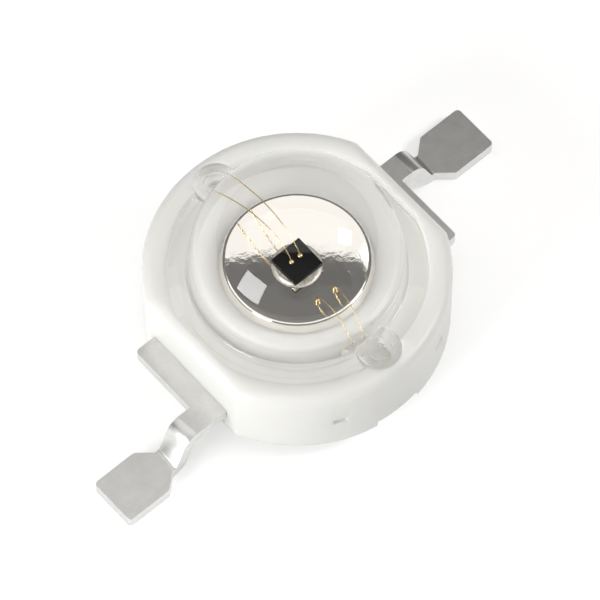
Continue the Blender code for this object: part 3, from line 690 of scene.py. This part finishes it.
def wire_pieces(material):
    """Two wires from the die and two from the slug's disc, each with a ball bond at its start."""
    ends = (("die", DIE_BOND_SPACING, DIE_BOND_Y, DIE_HIGH[2], DIE_LOOP_RISE,
             DIE_STITCH_SPACING, POST_SHIFT, POST_Y),
            ("slug", SLUG_BOND_SPACING, SLUG_BOND_Y, SLUG_TOP, SLUG_LOOP_RISE,
             SLUG_STITCH_SPACING, SLUG_STITCH_SHIFT, -POST_Y))
    for label, side in (("a", -1), ("b", 1)):
        for start, spacing, y, top, rise, apart, shift, reach in ends:
            ball = Vector((side * spacing / 2, y, top))
            stitch = Vector((side * apart / 2 + shift, reach, POST_TOP))
            curve = bpy.data.curves.new("wire", "CURVE")
            curve.dimensions = "3D"
            curve.bevel_depth = WIRE_RADIUS
            curve.bevel_resolution = 4
            curve.use_fill_caps = True
            route = wire_route(ball, stitch, rise)
            spline = curve.splines.new("POLY")
            spline.points.add(len(route) - 1)
            for knot, point in zip(spline.points, route):
                knot.co = (*point, 1.0)
            wire = settle(link(f"gold_{start}_wire_{label}", curve))
            bm = bmesh.new()
            middle = ball + Vector((0, 0, BALL_FLATNESS * BALL_RADIUS))
            bmesh.ops.create_uvsphere(bm, u_segments=24, v_segments=14, radius=BALL_RADIUS,
                                      matrix=Matrix.Translation(middle)
                                      @ Matrix.Diagonal((1.0, 1.0, BALL_FLATNESS, 1.0)))
            wire = combine(wire, mesh_object("ball", bm), "UNION")
            dress(wire, material, "gold_wire", f"bond_wire_{start}_{label}")


def lens_piece(material):
    """The dome, its stepped flange and the gel below it as one clear body, as they look in use."""
    dome = arc((0, DOME_TOP - DOME_RADIUS), DOME_RADIUS, 90, 0, 48)
    dome[0] = (0.0, DOME_TOP)
    fillet = arc((DOME_RADIUS + FLANGE_FILLET, FLANGE_TOP + FLANGE_FILLET), FLANGE_FILLET, 180,
                 270, 8)
    profile = dome + fillet + [
        (FLANGE_STEP_RADIUS, FLANGE_TOP), (FLANGE_STEP_RADIUS, FLANGE_EDGE_TOP),
        (FLANGE_RADIUS, FLANGE_EDGE_TOP), (FLANGE_RADIUS, SEAT_FLOOR - SEAT_GAP),
        (WELL_MOUTH + GEL_SUNK, SEAT_FLOOR - SEAT_GAP),
        (WELL_MOUTH + GEL_SUNK, WELL_FLOOR - GEL_SUNK), (0.0, WELL_FLOOR - GEL_SUNK)]
    lens = turned("clear_lens", profile)
    sides = box("sides", (2 * FLANGE_FLAT, 3 * BODY_RADIUS, 4 * DOME_TOP), (0, 0, 0))
    lens = combine(lens, sides, "INTERSECT")
    for side in (1, -1):
        boss = cylinder("boss", BOSS_RADIUS, SEAT_FLOOR - SEAT_GAP, BOSS_TOP, y=side * BOSS_Y)
        lens = combine(lens, boss, "UNION")
        column = cylinder("column", FILL_HOLE_RADIUS + GEL_PLUG_SUNK, GUTTER_FLOOR - GEL_PLUG_SUNK,
                          SEAT_FLOOR, y=side * BOSS_Y)
        lens = combine(lens, column, "UNION")
        hole = cylinder("hole", FILL_HOLE_RADIUS, GEL_IN_HOLE, DOME_TOP, y=side * BOSS_Y)
        lens = combine(lens, hole, "DIFFERENCE")
    lens = soften(lens, LENS_SOFTNESS)
    return dress(lens, material, "clear_lens", "lens", "gel")


def studio():
    """A pale floor, a wide ceiling panel and two soft boxes, with a dim room behind."""
    floor = box("floor", (600 * MM, 600 * MM, 2 * MM), (0, 0, -1 * MM))
    floor.data.materials.append(pale_paper())
    world = bpy.data.worlds.new("room")
    bpy.context.scene.world = world
    world.use_nodes = True
    room = world.node_tree.nodes["Background"].inputs
    room["Color"].default_value = linear("#F6F5F3")
    room["Strength"].default_value = ROOM_STRENGTH
    away = Vector((-math.sin(math.radians(VIEW_AZIMUTH)), math.cos(math.radians(VIEW_AZIMUTH)), 0))
    panel("ceiling", away * (CEILING_FAR + CEILING_NEAR) / 2 + Vector((0, 0, CEILING_HEIGHT)),
          (CEILING_WIDTH, CEILING_FAR - CEILING_NEAR), 0.93, "#FFFDF9", Vector((0, 0, -1)), away)
    # These two are what the dome mirrors: a patch at its left and a small square at its right
    panel("left_box", Vector((-0.95, -0.02, 0.30)) * 85 * MM, (36 * MM, 36 * MM), 12.0, "#FFFFFF")
    panel("right_box", Vector((0.59, -0.45, 0.67)) * 95 * MM, (24 * MM, 24 * MM), 13.0, "#FFFFFF")
    panel("back_fill", Vector((-0.06, 0.52, 0.85)) * 75 * MM, (18 * MM, 12 * MM), 0.9, "#FFFFFF")


def panel(name, place, size, radiance, colour, facing=None, up=None):
    """A soft light of a real size and brightness, turned to the lamp unless told otherwise."""
    light = bpy.data.lights.new(name, "AREA")
    light.shape = "RECTANGLE"
    light.size, light.size_y = size
    light.energy = radiance * math.pi * size[0] * size[1]
    light.color = linear(colour)[:3]
    obj = link(name, light)
    back = -(facing or -place).normalized()
    up = up or Vector((0, 0, 1))
    right = up.cross(back).normalized()
    up = back.cross(right)
    obj.matrix_world = Matrix.Translation(place) @ Matrix((right, up, back)).transposed().to_4x4()
    obj.visible_camera = False


def camera():
    """A long lens from the photograph's direction, with the slug's centre where it falls there."""
    azimuth, elevation = math.radians(VIEW_AZIMUTH), math.radians(VIEW_ELEVATION)
    back = Vector((math.sin(azimuth) * math.cos(elevation),
                   -math.cos(azimuth) * math.cos(elevation), math.sin(elevation)))
    right = Vector((math.cos(azimuth), math.sin(azimuth), 0))
    up = back.cross(right)
    middle = IMAGE_PIXELS / 2
    aim = right * (middle - ORIGIN_PIXEL[0]) + up * (ORIGIN_PIXEL[1] - middle)
    aim = aim / PIXELS_PER_MM * MM
    data = bpy.data.cameras.new("photo_view")
    data.sensor_width = SENSOR_WIDTH
    data.lens = PIXELS_PER_MM / MM * CAMERA_DISTANCE * SENSOR_WIDTH / IMAGE_PIXELS
    data.clip_start = CLIP_START
    obj = link("photo_view", data)
    obj.matrix_world = (Matrix.Translation(aim + back * CAMERA_DISTANCE)
                        @ Matrix((right, up, back)).transposed().to_4x4())
    bpy.context.scene.camera = obj


def build():
    """All pieces, each with its finish, and the studio round them."""
    bpy.context.scene.view_settings.view_transform = "Standard"
    housing_piece(white_moulding())
    slug_piece(silver_plate())
    lead_pieces(tin_plate(), bond_plate())
    die_pieces(die_surface(), silver_epoxy())
    wire_pieces(gold_wire())
    lens_piece(clear_optic())
    studio()
    camera()


build()
